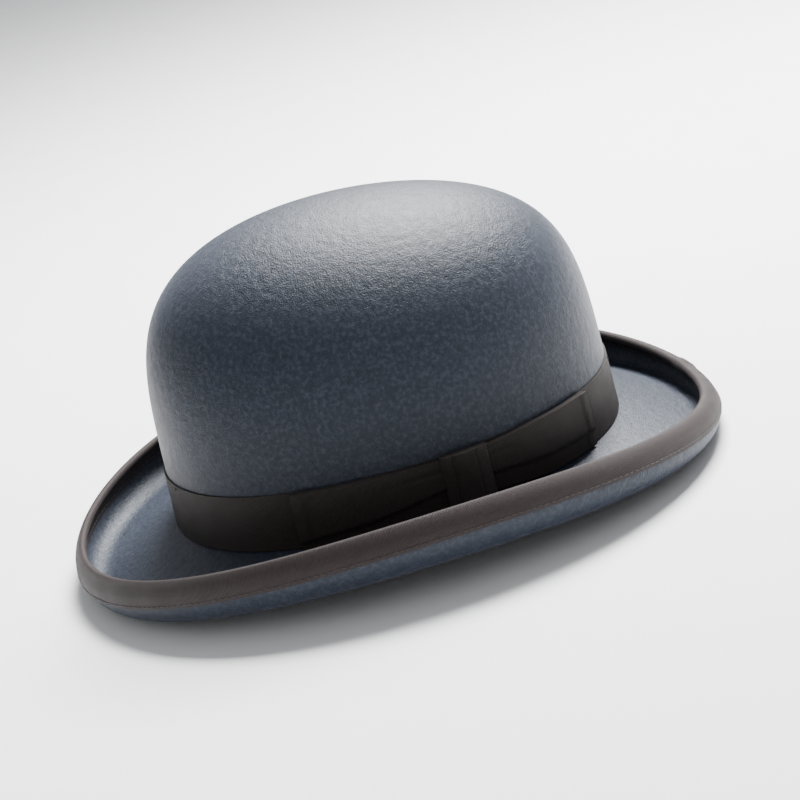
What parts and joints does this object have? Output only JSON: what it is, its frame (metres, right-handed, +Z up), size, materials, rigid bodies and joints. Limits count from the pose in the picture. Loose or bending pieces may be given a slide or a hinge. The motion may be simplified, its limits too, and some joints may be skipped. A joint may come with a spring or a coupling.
{
  "type": "bowler hat",
  "caption": "Stiff felt bowler hat with a round crown, rolled bound brim, ribbon band with a flat side bow, leather sweatband and lining.",
  "frame": {"origin": "under the middle of the hat, on the surface that the brim stands on", "axes": "+Z up, the front of the hat towards -Y, the wearer's left, with the bow, towards +X"},
  "size_m": [0.2748, 0.3087, 0.1465],
  "materials": {
    "felt": "brushed fur felt",
    "grosgrain": "ribbed ribbon",
    "binding": "ribbed ribbon",
    "thread": "twisted thread",
    "leather": "smooth",
    "tape": "woven",
    "reed": "matte",
    "satin": "satin weave",
    "ticket": "matte"
  },
  "bodies": {
    "root": {"felt_body": "felt", "hat_band": "grosgrain", "hat_band_stitches": "thread", "bow_front_leaf": "grosgrain", "bow_rear_leaf": "grosgrain", "bow_knot": "grosgrain", "bow_tack_stitches": "thread", "brim_binding": "binding", "binding_stitching": "thread", "sweatband": "leather", "reed_tape": "tape", "sweatband_reed": "reed", "sweatband_stitching": "thread", "back_seam_tape": "tape", "back_seam_stitches": "thread", "inside_bow_loops": "grosgrain", "inside_bow_knot": "grosgrain", "lining_side": "satin", "lining_tip": "satin", "lining_piping": "satin", "lining_tacks": "thread", "size_ticket": "ticket"}
  },
  "joints": []
}
